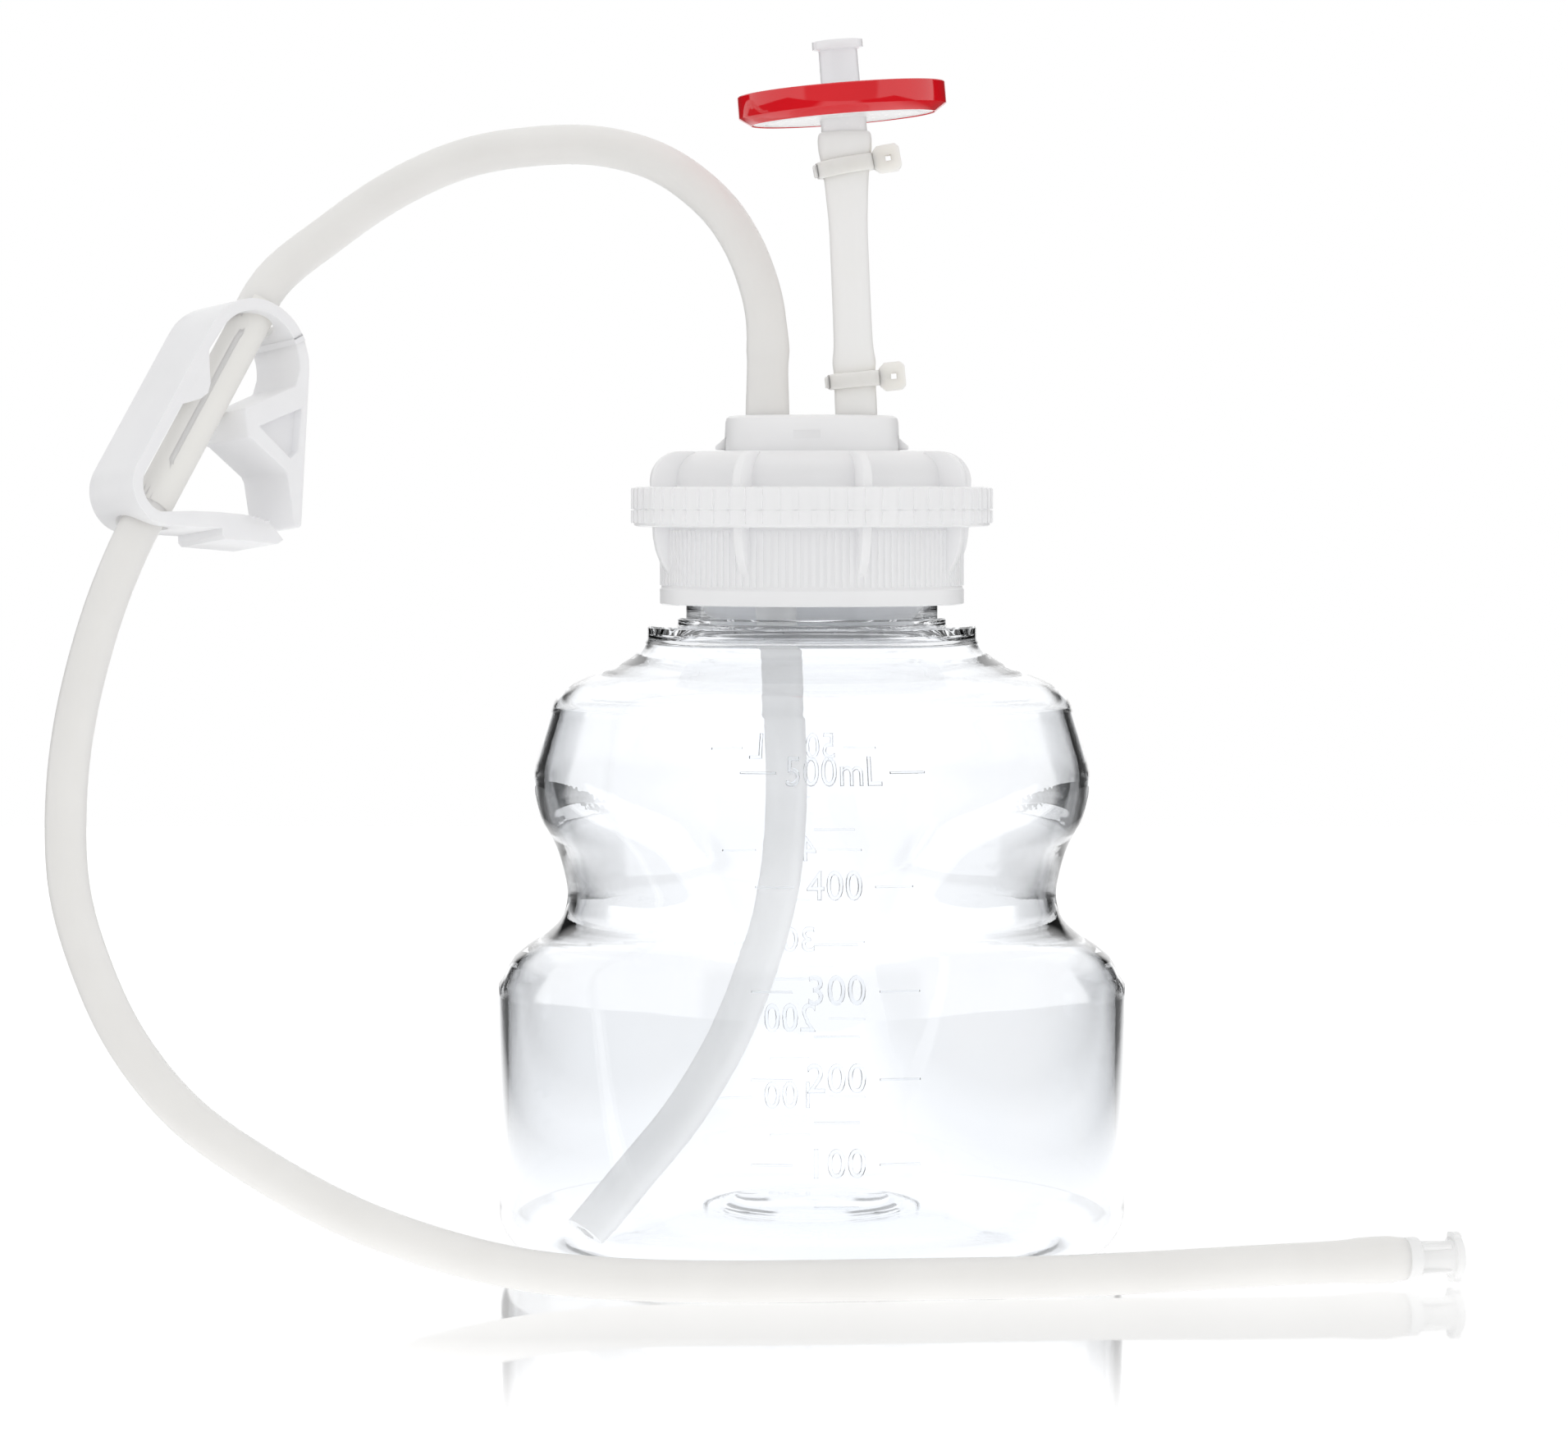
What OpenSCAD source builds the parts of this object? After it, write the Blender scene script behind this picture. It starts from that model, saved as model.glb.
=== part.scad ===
// Single-use 500 mL bottle with a two-port screw closure, dip tube, clamped hose and disc vent filter.
// Origin: centre of the bottle's base, on the surface it stands on. +Z up, the front faces -Y.

/* [Bottle] */
// Largest radius of the lower body
body_r = 49.5; // [48:0.5:51]
// Largest radius of the upper body
upper_r = 44.4; // [43:0.2:46]
// Wall thickness of the body
wall = 1.5; // [1.2:0.1:2]
// Half-width left between the finger waists
waist_r = 38.6; // [37:0.2:41]
// Height of the middle of the finger waists
waist_z = 57.5; // [57:0.1:58]
// Outer radius of the neck
neck_r = 20.4; // [20:0.1:20.6]
// Height of the neck's rim
rim_z = 121; // [120.5:0.1:121]

/* [Closure] */
// Radius of the plain skirt
skirt_r = 24; // [23.5:0.1:24.5]
// Radius of the knurled ring
knurl_r = 28.6; // [28:0.1:29.5]
// Number of flutes round the knurled ring
flutes = 64; // [48:8:72]
// Number of ribs on the dome and the skirt
ribs = 8; // [6:1:10]
// Radius of the port insert where it stands through the nut
insert_r = 13.9; // [13:0.1:14]
// Distance of each port from the middle
port_x = 7; // [6.5:0.5:7.5]

/* [Hoses] */
// Outer diameter of the hoses
hose_d = 6.35; // [6:0.05:6.6]
// Bore of the hoses
hose_bore = 3.2; // [2.8:0.1:3.4]
// Sides of the swept tubes
hose_sides = 10; // [8:1:12]

/* [Clamp] */
// Width of the clamp across the hose
clamp_w = 12; // [11:0.5:13]
// Thickness of the clamp's band
clamp_t = 1.9; // [1.6:0.1:2]
// Radius of the hose holes
clamp_hole_r = 3.9; // [3.8:0.05:4]

/* [Filter] */
// Outer radius of the red ring
filter_r = 16.4; // [16:0.1:17]
// Lean of the filter, in degrees
filter_lean = 4.6; // [0:0.2:5]

/* [Hidden] */
$fn = 96;

// The long hose: up from the left port, over an arch and straight through the clamp,
// then down to the surface and across.
hose_route = [
    [-7, 0, 132.7], [-7, 0, 139], [-7, 0, 145], [-8, 2, 152], [-11, 5, 160], [-16, 9, 167], [-24, 13, 173],
    [-34, 16, 176], [-45, 17, 176], [-56, 17, 174], [-67, 16, 169], [-77, 14, 162], [-86, 9, 154],
    [-91, 3, 143.5], [-96, -3, 133], [-101, -9, 122.5], [-106, -15, 112],
    [-110, -21, 100], [-113, -26, 86], [-114, -30, 73], [-113, -34, 60], [-109, -38, 48], [-103, -42, 37],
    [-94, -46, 27], [-82, -49, 19], [-69, -52, 12.5], [-56, -54, 8], [-43, -55, 5], [-29, -55, 3.6],
    [-14, -55, 3.2], [2, -54, 3.2], [18, -52, 3.2], [33, -50, 3.2], [48, -47, 3.4], [62, -44, 3.8],
    [76, -40.5, 4.1], [90, -36.7, 4.2]];

// The dip tube: down from the barb under the insert to the bottom corner.
dip_route = [
    [-7, 0, 121], [-6.5, 0, 112], [-5.5, -0.5, 102], [-4.5, -1.5, 88], [-4, -3, 75], [-4.5, -4.5, 64],
    [-6, -6.5, 55], [-9, -9, 45], [-13.5, -12.5, 34.5], [-20, -17, 24], [-27.5, -21, 15],
    [-34.5, -24.5, 6.5]];

clamp_at = [-96, -3, 133];       // middle of the straight stretch
clamp_along = [-20, -24, -42];   // direction of the hose there, downwards
clamp_across = [-0.657, 0.745, -0.113]; // roughly across the hose, towards the back
arch_c = [1.5, 10.4];            // centre of the clamp's arch, beside and along the hose
arch_r = 10.1;                   // its outer radius
hinge_turn = 60;                 // where the arch bends, in degrees round it
hinge_gap = 1.6;                 // half the slot between frame and lever, in degrees
lever_turn = 26.7;               // where the arch runs out into the lever

waist_bend = 55;                 // radius that the waists turn about
// The waists' outline: how far it stands out from the waist's middle, and how far above that it is.
waist_line = [[11.6, -13.5], [10.3, -12], [8.2, -9.6], [5.4, -7.8], [2.3, -5.6], [0.6, -3.4], [0, 0],
              [0.6, 3.6], [1.9, 7.7], [4, 11.4], [5.6, 15], [8, 19]];
collar_r = 25.9;                 // the collar under the neck
collar_z = [97.5, 99.6];
neck_bore_r = 17.4;

nut_foot = 103;
nut_top = 127.1;
nut_bore_top = 124.35;
knurl_z = [115.2, 121.5];        // bottom and top of the knurled ring
knurl_deep = 0.5;
dome_c = [20.8, 122.3];          // centre of the dome's rounded edge
rib_w = 2;
rib_r = 27.2;
rib_foot = 107;
rib_top = 124.6;
rib_first = -116;                // heading of the first rib, in degrees

flange_z = 122.05;               // underside of the insert's flange
flange_r = 19.6;
flange_t = 2.2;
insert_top = 132.7;
insert_wall = 1.8;
tab = [2.2, 5, 1.8];             // the two side tabs, outwards, along and up
window = [2, 4.8, 1.6];          // the two windows, the same way
window_z = 129.2;
barb_up = 10.5;
barb_down = 9.8;
port_bore = 1.1;
seal_bore = 14.5;
seal_r = 19.4;
dip_r = 3.25;

luer_r = 2.15;                   // bore of a female luer socket
luer_deep = 7.5;
luer_lug_r = 3.7;
air_bore = 1.2;                  // the narrow way behind a luer socket

filter_at = [4.7, 0, 182];
filter_port = 4.7;               // from the filter's middle down to the end of its hose
filter_hub = 9.6;                // height of the filter's luer hub
shell_r = filter_r - 1;
membrane_r = 14.1;
chamber_r = 14.3;
vent_low = [port_x, 0, insert_top];
vent_high = filter_at + filter_port * [sin(filter_lean), 0, -cos(filter_lean)];
vent_long = norm(vent_high - vent_low);
vent_lean = -asin((vent_low[0] - vent_high[0]) / vent_long);

hose_end = hose_route[len(hose_route) - 1];
hose_end_turn = 15.2;            // heading of the hose's last stretch, in degrees
hub_long = 8.8;                  // length of the hose's luer outside the hose
hub_r = 2.75;

heel_c = [-2.5, -16.8];          // centre of the clamp's heel, beside and along the hose
heel_r = 6.1;
teeth = 5;
tooth_first = [12.2, -12.05];
tooth_step = [0.9, 0.36];
eps = 0.01;

function unit(v) = v / norm(v);

// Points on an arc from angle a0 to a1, in degrees.
function arc(c, r, a0, a1, n = 12) =
    [for (i = [0:n]) let (a = a0 + (a1 - a0) * i / n) c + r * [cos(a), sin(a)]];

// A point a share t of the way from b to c, on the smooth curve through a, b, c, d.
function between(a, b, c, d, t) =
    0.5 * (2 * b + (c - a) * t + (2 * a - 5 * b + 4 * c - d) * t * t + (3 * b - a - 3 * c + d) * t * t * t);

// The route again, with steps points for each of its own.
function smooth(p, steps) = let (n = len(p) - 1) [
    for (i = [0:n - 1]) for (k = [0:steps - 1])
        between(p[max(i - 1, 0)], p[i], p[i + 1], p[min(i + 2, n)], k / steps),
    p[n]];

function tangents(p) = let (n = len(p) - 1) [for (i = [0:n]) unit(p[min(i + 1, n)] - p[max(i - 1, 0)])];

// A side direction for each ring, carried along without twist.
function sides(t, i = 0, last = [0, 1, 0]) =
    i >= len(t) ? [] : let (s = unit(last - (last * t[i]) * t[i])) concat([s], sides(t, i + 1, s));

// A solid tube of radius r along a route.
module tube(route, r, steps = 2) {
    p = smooth(route, steps);
    t = tangents(p);
    s = sides(t);
    m = hose_sides;
    last = len(p) - 1;
    rings = [for (i = [0:last]) for (k = [0:m - 1])
        p[i] + r * (cos(360 * k / m) * s[i] + sin(360 * k / m) * cross(t[i], s[i]))];
    walls = [for (i = [0:last - 1]) for (k = [0:m - 1]) let (k2 = (k + 1) % m)
        [i * m + k, (i + 1) * m + k, (i + 1) * m + k2, i * m + k2]];
    polyhedron(rings, concat([[for (k = [0:m - 1]) k]], walls, [[for (k = [m - 1:-1:0]) last * m + k]]));
}

// Both waists: a ring on each side, turned about the far side of the bottle, presses the body in.
// A larger grow presses it in further.
module waists(grow) {
    low = waist_line[0][1];
    high = waist_line[len(waist_line) - 1][1];
    past = waist_bend + 30;
    edge = [for (p = waist_line) [waist_bend - grow + p[0], p[1]]];
    for (side = [-1, 1])
        translate([side * (waist_r - waist_bend), 0, waist_z])
            rotate_extrude()
                polygon(concat(edge, [[past, high], [past, low]]));
}

// The straight sides from the lower body to the shoulder, moved in by inset.
function body_side(inset) = [
    [body_r, 44], [body_r - 0.7, 49], [body_r - 2.3, 56], [upper_r + 1.3, 64], [upper_r, 73],
    [upper_r - 0.9, 78], [upper_r - 3.2, 85.3]] - inset * [for (i = [0:6]) [1, 0]];

module bottle_outside() {
    difference() {
        rotate_extrude()
            polygon(concat(
                [[0, 7], [15, 7], [22, 5.6], [30, 2.4], [36, 0.6], [39, 0]],
                arc([body_r - 8, 8], 8, -90, 0, 8),
                body_side(0),
                arc([37, 86.2], 4, 10, 70, 4),
                [[32, 92.8], [27.2, 96], [collar_r, collar_z[0]], [collar_r, collar_z[1]],
                 [neck_r, collar_z[1]], [neck_r, rim_z], [0, rim_z]]));
        waists(0);
    }
}

module bottle_inside() {
    difference() {
        rotate_extrude()
            polygon(concat(
                [[0, 10], [14, 10], [23, 7.6], [31, 4], [37, 2]],
                arc([body_r - 8, 8], 8 - wall, -80, 0, 6),
                body_side(wall),
                arc([37, 85.5], 4 - wall, 10, 70, 4),
                [[31, 90.8], [25, 94], [19, collar_z[0]], [neck_bore_r, collar_z[1]],
                 [neck_bore_r, rim_z + 1], [0, rim_z + 1]]));
        waists(wall);
    }
}

module bottle() {
    color("LightCyan", 0.3)
        difference() {
            bottle_outside();
            bottle_inside();
        }
}

// Upright ribs round the nut between two heights.
module nut_ribs(z0, z1, r0, r1) {
    for (i = [0:ribs - 1])
        rotate([0, 0, rib_first + i * 360 / ribs])
            translate([r0, -rib_w / 2, z0])
                cube([r1 - r0, rib_w, z1 - z0]);
}

module closure_nut() {
    color("WhiteSmoke", 0.85)
        difference() {
            union() {
                rotate_extrude()
                    polygon(concat(
                        [[0, nut_foot], [skirt_r - 0.5, nut_foot], [skirt_r, nut_foot + 0.5],
                         [skirt_r, knurl_z[1]]],
                        arc(dome_c, nut_top - dome_c[1], -30, 90, 8) - [for (i = [0:8]) [2, 0]],
                        [[0, nut_top]]));
                translate([0, 0, knurl_z[0]])
                    linear_extrude(knurl_z[1] - knurl_z[0])
                        polygon([for (i = [0:flutes - 1]) for (k = [0:3])
                            let (a = 360 * (i + k / 4) / flutes, r = k < 2 ? knurl_r : knurl_r - knurl_deep)
                                r * [cos(a), sin(a)]]);
                nut_ribs(rib_foot, knurl_z[0] + 1, skirt_r - 2, rib_r);
                nut_ribs(knurl_z[1] - 1, rib_top, skirt_r - 4, rib_r);
            }
            translate([0, 0, nut_foot - eps])
                cylinder(h = nut_bore_top - nut_foot + eps, r = neck_r + 0.5);
            translate([0, 0, nut_bore_top - 1])
                cylinder(h = 5, r = insert_r + 0.4);
        }
}

// A hose barb standing up from z = 0, with its through bore cut elsewhere.
module barb(long, stem_r = 1.7, tip_r = 2.2) {
    cylinder(h = long, r = stem_r);
    for (z = [long * 0.35, long * 0.72])
        translate([0, 0, z])
            cylinder(h = long * 0.28, r1 = tip_r, r2 = stem_r);
}

module port_insert() {
    color("WhiteSmoke", 0.85)
        difference() {
            union() {
                difference() {
                    union() {
                        translate([0, 0, flange_z])
                            cylinder(h = flange_t, r = flange_r);
                        translate([0, 0, flange_z])
                            cylinder(h = insert_top - flange_z, r = insert_r);
                        for (turn = [0, 180])
                            rotate([0, 0, turn])
                                translate([insert_r - 1, -tab[1] / 2, nut_top + 0.2])
                                    cube(tab);
                    }
                    translate([0, 0, flange_z - eps])
                        cylinder(h = 8, r = insert_r - insert_wall);
                    for (turn = [-90, 90])
                        rotate([0, 0, turn])
                            translate([insert_r - 0.8, -window[1] / 2, window_z])
                                cube(window);
                }
                for (side = [-1, 1])
                    translate([side * port_x, 0, insert_top - eps])
                        barb(barb_up);
                translate([-port_x, 0, insert_top - 2])
                    mirror([0, 0, 1])
                        cylinder(h = 9, r = 3.4);
                translate([-port_x, 0, flange_z - 0.25])
                    mirror([0, 0, 1])
                        barb(barb_down);
            }
            for (side = [-1, 1])
                translate([side * port_x, 0, nut_foot])
                    cylinder(h = 45, r = port_bore);
        }
}

module neck_seal() {
    color("Gainsboro")
        translate([0, 0, rim_z + 0.02])
            difference() {
                cylinder(h = flange_z - rim_z - 0.02, r = seal_r);
                translate([0, 0, -1])
                    cylinder(h = 4, r = seal_bore);
            }
}

module dip_tube() {
    color("Ivory", 0.8)
        tube(dip_route, dip_r);
}

module main_hose() {
    color("Ivory", 0.8)
        tube(hose_route, hose_d / 2);
}

// A place along the short hose, which leans from the right port to the filter's port.
module on_vent_hose(along) {
    translate(vent_low)
        rotate([0, vent_lean, 0])
            translate([0, 0, along])
                children();
}

// The short hose is stretched over the barb at each end.
module vent_hose() {
    r = hose_d / 2;
    color("Ivory", 0.8)
        on_vent_hose(0)
            rotate_extrude()
                polygon([[hose_bore / 2, 0], [r + 0.15, 0], [r + 0.15, 9], [r - 0.15, 14], [r - 0.1, 30],
                         [r + 0.3, 35], [4.25, 41], [4.25, vent_long - 0.6], [3.9, vent_long],
                         [hose_bore / 2, vent_long]]);
}

// A cable tie: a round strap, the end drawn flush through a square head beside it.
module tie(inner_r, strap_h, head) {
    difference() {
        union() {
            cylinder(h = strap_h, r = inner_r + 0.9, center = true);
            translate([inner_r + 0.3, -head[1] / 2, -head[2] / 2])
                cube(head);
        }
        cylinder(h = 20, r = inner_r, center = true);
        translate([inner_r + 2.2, -head[1], -0.9])
            cube([1.4, head[1] * 2, 1.8]);
    }
}

module lower_tie() {
    color("Cornsilk")
        on_vent_hose(5.6)
            rotate([0, -3, 0])
                tie(hose_d / 2 + 0.2, 2.4, [4.4, 3.6, 4.4]);
}

module upper_tie() {
    color("Cornsilk")
        on_vent_hose(39.2)
            rotate([0, -8, 0])
                tie(4.1, 2.6, [4.4, 3.8, 4.2]);
}

module in_filter() {
    translate(filter_at)
        rotate([0, -filter_lean, 0])
            children();
}

module filter_bottom() {
    color("GhostWhite", 0.5)
        in_filter()
            difference() {
                union() {
                    translate([0, 0, -2.6])
                        cylinder(h = 1.6, r = shell_r - 1.2);
                    translate([0, 0, -1.6])
                        cylinder(h = 1.3, r = shell_r);
                    translate([0, 0, -2.9])
                        cylinder(h = 0.4, r = 12.6);
                    translate([0, 0, -filter_port])
                        cylinder(h = 2, r1 = 3.8, r2 = 4.3);
                    translate([0, 0, 0.1 - filter_port])
                        mirror([0, 0, 1])
                            cylinder(h = 12, r1 = 3.1, r2 = 2.3);
                }
                translate([0, 0, -20])
                    cylinder(h = 25, r = air_bore);
                translate([0, 0, -1.15])
                    cylinder(h = 2, r = chamber_r);
            }
}

module filter_top() {
    color("GhostWhite", 0.5)
        in_filter()
            difference() {
                union() {
                    translate([0, 0, -0.25])
                        cylinder(h = 1.75, r = shell_r);
                    cylinder(h = filter_hub, r = 3.15);
                    translate([0, 0, filter_hub - 1.4])
                        cylinder(h = 1.4, r = luer_lug_r);
                }
                translate([0, 0, filter_hub - luer_deep])
                    cylinder(h = luer_deep + 1, r = luer_r);
                translate([0, 0, -1])
                    cylinder(h = 5, r = air_bore);
                translate([0, 0, -1])
                    cylinder(h = 1.4, r = chamber_r);
            }
}

module filter_ring() {
    color("Red")
        in_filter()
            rotate_extrude()
                polygon([[14.5, -2.65], [filter_r, -1.5], [filter_r, 1.8], [filter_r - 0.3, 2], [14.6, 2],
                         [14.6, 1.55], [shell_r + 0.05, 1.55], [shell_r + 0.05, -1.65],
                         [shell_r - 1.15, -1.65], [shell_r - 1.15, -2.65]]);
}

module filter_membrane() {
    color("White")
        in_filter()
            translate([0, 0, -0.35])
                cylinder(h = 0.2, r = membrane_r);
}

module membrane_support() {
    color("White")
        in_filter()
            translate([0, 0, -1.05])
                difference() {
                    cylinder(h = 0.65, r = membrane_r);
                    for (turn = [0:30:359])
                        rotate([0, 0, turn])
                            translate([4, -0.6, -1])
                                cube([8.5, 1.2, 3]);
                }
}

// The barbed luer lies on the hose's last heading; its local +Z runs out of the hose.
module hose_luer() {
    color("WhiteSmoke")
        translate(hose_end)
            rotate([0, 90, hose_end_turn])
                difference() {
                    union() {
                        translate([0, 0, -8])
                            cylinder(h = 8.1, r1 = 2, r2 = 2.5);
                        cylinder(h = 2.2, r = 3.3);
                        cylinder(h = hub_long, r = hub_r);
                        translate([0, 0, hub_long - 1.3])
                            cylinder(h = 1.3, r = luer_lug_r);
                    }
                    translate([0, 0, hub_long - luer_deep])
                        cylinder(h = luer_deep + 1, r = luer_r);
                    translate([0, 0, -9])
                        cylinder(h = 12, r = air_bore);
                }
}

// The clamp's own frame: x from the hose towards the lever, y across to the back, z up along the hose.
module in_clamp() {
    up = -unit(clamp_along);
    back = unit(clamp_across - (clamp_across * up) * up);
    out = cross(back, up);
    multmatrix([
        [out[0], back[0], up[0], clamp_at[0]],
        [out[1], back[1], up[1], clamp_at[1]],
        [out[2], back[2], up[2], clamp_at[2]]])
        children();
}

// A flat outline in the clamp's x and z, given its width.
module across_clamp(w = clamp_w) {
    rotate([90, 0, 0])
        linear_extrude(w, center = true)
            children();
}

module clamp_frame() {
    t = clamp_t;
    outside = concat(
        arc(arch_c, arch_r, hinge_turn + hinge_gap, 180, 14),
        arc(heel_c, heel_r, 180, 303, 12),
        [[9.6, -16.2], [10.2, -17.1], [11, -17.3], [19.6, -12], [20.1, -10.9]]);
    inside = concat(
        [[17.6, -10.3], [15.6, -10.5], [11.9, -11.9], [7.8, -14.4], [3.8, -17.1]],
        arc(heel_c, heel_r - t, 290, 180, 8),
        [[-6.6, -4], [-5.4, -2.6], [-4.2, -1.1], [-3.6, 0.4], [-4, 2], [-5.4, 4], [-7, 6.4]],
        arc(arch_c, arch_r - t, 180, hinge_turn + hinge_gap, 14));
    color("White")
        in_clamp()
            difference() {
                union() {
                    across_clamp()
                        polygon(concat(outside, inside));
                    for (i = [0:teeth - 1])
                        across_clamp(clamp_w - 2)
                            translate(tooth_first + i * tooth_step)
                                circle(r = 0.45, $fn = 3);
                }
                cylinder(h = 60, r = clamp_hole_r, center = true);
            }
}

module clamp_lever() {
    t = clamp_t;
    outside = concat(
        [[21.9, -6.9], [21.6, -7.5], [21, -7.6]],
        [[20.4, -7.1], [15.6, -1.7], [14.6, -1.1], [7, -0.7], [6.2, -0.9], [3.5, 2.3], [3.5, 2.8],
         [9.4, 11.6]],
        arc(arch_c, arch_r - t, lever_turn, hinge_turn - hinge_gap, 4),
        arc(arch_c, arch_r, hinge_turn - hinge_gap, lever_turn, 6));
    color("White")
        in_clamp()
            across_clamp()
                difference() {
                    polygon(outside);
                    polygon([[12.2, 9.2], [15.2, 2.9], [14.6, 1.1], [7.2, 1.9]]);
                }
}

bottle();
closure_nut();
port_insert();
neck_seal();
dip_tube();
main_hose();
vent_hose();
lower_tie();
upper_tie();
filter_bottom();
filter_top();
filter_ring();
filter_membrane();
membrane_support();
hose_luer();
clamp_frame();
clamp_lever();
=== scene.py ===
"""The looks of a single-use filling bottle with its screw closure, hoses, clamp and vent filter.

Sizes are in millimetres, with +Z up and -Y to the front.
MM turns them into metres where a mesh is made.
"""

import math

import bpy
from mathutils import Matrix, Vector


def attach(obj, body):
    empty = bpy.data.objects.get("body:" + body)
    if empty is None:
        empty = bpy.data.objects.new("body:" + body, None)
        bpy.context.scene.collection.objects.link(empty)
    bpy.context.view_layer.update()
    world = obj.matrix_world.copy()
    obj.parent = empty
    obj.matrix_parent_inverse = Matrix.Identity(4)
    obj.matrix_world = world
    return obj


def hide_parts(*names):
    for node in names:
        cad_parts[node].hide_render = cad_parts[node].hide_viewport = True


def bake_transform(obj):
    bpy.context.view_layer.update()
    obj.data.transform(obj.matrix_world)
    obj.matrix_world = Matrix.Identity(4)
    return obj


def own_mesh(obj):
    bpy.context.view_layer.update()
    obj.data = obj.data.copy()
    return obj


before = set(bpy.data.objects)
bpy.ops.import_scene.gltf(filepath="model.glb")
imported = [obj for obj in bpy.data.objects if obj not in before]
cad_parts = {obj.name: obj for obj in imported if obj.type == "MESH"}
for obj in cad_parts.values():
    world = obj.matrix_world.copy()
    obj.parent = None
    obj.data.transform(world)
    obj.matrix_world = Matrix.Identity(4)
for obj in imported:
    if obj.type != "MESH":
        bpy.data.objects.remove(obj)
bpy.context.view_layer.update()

MM = 0.001
WELD = 0.002 * MM

# ---------------------------------------------------------------- the object's sizes

WALL = 1.5
BODY_R = 49.5
FOOT_R = 8
RIM_Z = 121.0
RIM_R = 18.9
WAIST_CENTRE = 16.4
WAIST_BLEND = 3.2
BOTTLE_TURN = 4.3

PORT_X = 7.0
INSERT_TOP = 132.7
HOSE_R = 3.175
TUBE_R = 3.25
TUBE_BORE = 1.6

FILTER_AT = (4.7, 0, 182)
FILTER_LEAN = 4.6
FILTER_PORT = 4.7

CLAMP_AT = (-96, -3, 133)
CLAMP_OUT = (0.64976, 0.48412, -0.58605)
CLAMP_BACK = (-0.65714, 0.74526, -0.11294)
CLAMP_UP = (0.38208, 0.45850, 0.80237)
CLAMP_W = 12.0
CLAMP_HOLE_R = 3.9

HOSE_END = (90, -36.7, 4.2)
HOSE_END_TURN = 15.2

HOSE_ROUTE = [
    (-7, 0, 132.7), (-7, 0, 139), (-7, 0, 145), (-8, 2, 152), (-11, 5, 160), (-16, 9, 167),
    (-24, 13, 173), (-34, 16, 176), (-45, 17, 176), (-56, 17, 174), (-67, 16, 169), (-77, 14, 162),
    (-86, 9, 154), (-91, 3, 143.5), (-96, -3, 133), (-101, -9, 122.5), (-106, -15, 112),
    (-110, -21, 100), (-113, -26, 86), (-114, -30, 73), (-113, -34, 60), (-109, -38, 48),
    (-103, -42, 37), (-94, -46, 27), (-82, -49, 19), (-69, -52, 12.5), (-56, -54, 8),
    (-43, -55, 5), (-29, -55, 3.6), (-14, -55, 3.2), (2, -54, 3.2), (18, -52, 3.2),
    (33, -50, 3.2), (48, -47, 3.4), (62, -44, 3.8), (76, -40.5, 4.1), (90, -36.7, 4.2)]

DIP_ROUTE = [
    (-7, 0, 121), (-6.5, 0, 112), (-5.5, -0.5, 102), (-4.5, -1.5, 88), (-4, -3, 75),
    (-4.5, -4.5, 64), (-6, -6.5, 55), (-9, -9, 45), (-13.5, -12.5, 34.5), (-20, -17, 24),
    (-27.5, -21, 15), (-34.5, -24.5, 6.5)]

# ---------------------------------------------------------------- drawing helpers


def only(obj):
    """Selects obj and nothing else, and makes it the active object."""
    bpy.ops.object.select_all(action="DESELECT")
    obj.select_set(True)
    bpy.context.view_layer.objects.active = obj


def edit(obj, action="SELECT"):
    """Opens obj in edit mode with everything selected, or nothing."""
    only(obj)
    bpy.ops.object.mode_set(mode="EDIT")
    bpy.ops.mesh.select_mode(type="VERT")
    bpy.ops.mesh.select_all(action=action)


def close():
    """Leaves edit mode."""
    bpy.ops.object.mode_set(mode="OBJECT")


def line(name, points):
    """A run of edges through points: one vertex, extruded from each point to the next."""
    bpy.ops.object.select_all(action="DESELECT")
    bpy.ops.mesh.primitive_plane_add(size=MM, location=(0, 0, 0))
    obj = bpy.context.object
    obj.name = name
    edit(obj)
    bpy.ops.mesh.merge(type="CENTER")
    spots = [Vector(point) * MM for point in points]
    bpy.ops.transform.translate(value=spots[0])
    for here, there in zip(spots, spots[1:]):
        bpy.ops.mesh.extrude_vertices_move(TRANSFORM_OT_translate={"value": there - here})
    close()
    return obj


def welded(obj):
    """Merges obj's doubled vertices and turns its faces outwards."""
    edit(obj)
    bpy.ops.mesh.remove_doubles(threshold=WELD)
    bpy.ops.mesh.normals_make_consistent(inside=False)
    close()
    return obj


def turned(name, outline, sides=96):
    """Spins an outline of (radius, height) points about Z."""
    obj = line(name, [(r, 0, z) for r, z in outline])
    edit(obj)
    bpy.ops.mesh.spin(steps=sides, angle=math.tau, center=(0, 0, 0), axis=(0, 0, 1))
    close()
    return welded(obj)


def plate(name, outline, thick):
    """Fills a closed outline of (x, z) points and extrudes it to a plate, centred on y = 0."""
    obj = line(name, [(x, -thick / 2, z) for x, z in outline + outline[:1]])
    edit(obj)
    bpy.ops.mesh.remove_doubles(threshold=WELD)
    bpy.ops.mesh.edge_face_add()
    bpy.ops.mesh.extrude_region_move(TRANSFORM_OT_translate={"value": (0, thick * MM, 0)})
    close()
    return welded(obj)


def rod(name, radius, low, high, sides=48):
    """A plain round cutter along Z."""
    return turned(name, [(0, low), (radius, low), (radius, high), (0, high)], sides)


def block(name, low, high):
    """A box between two corners."""
    (x0, y0, z0), (x1, y1, z1) = low, high
    obj = plate(name, [(x0, z0), (x1, z0), (x1, z1), (x0, z1)], y1 - y0)
    return put(obj, Matrix.Translation(Vector((0, (y0 + y1) / 2, 0)) * MM))


def put(obj, matrix):
    """Moves obj's mesh by matrix and leaves the object itself at the origin."""
    obj.matrix_world = matrix
    only(obj)
    bpy.ops.object.transform_apply(location=True, rotation=True, scale=True)
    return obj


def spun(degrees):
    """The turn about Z."""
    return Matrix.Rotation(math.radians(degrees), 4, "Z")


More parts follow.
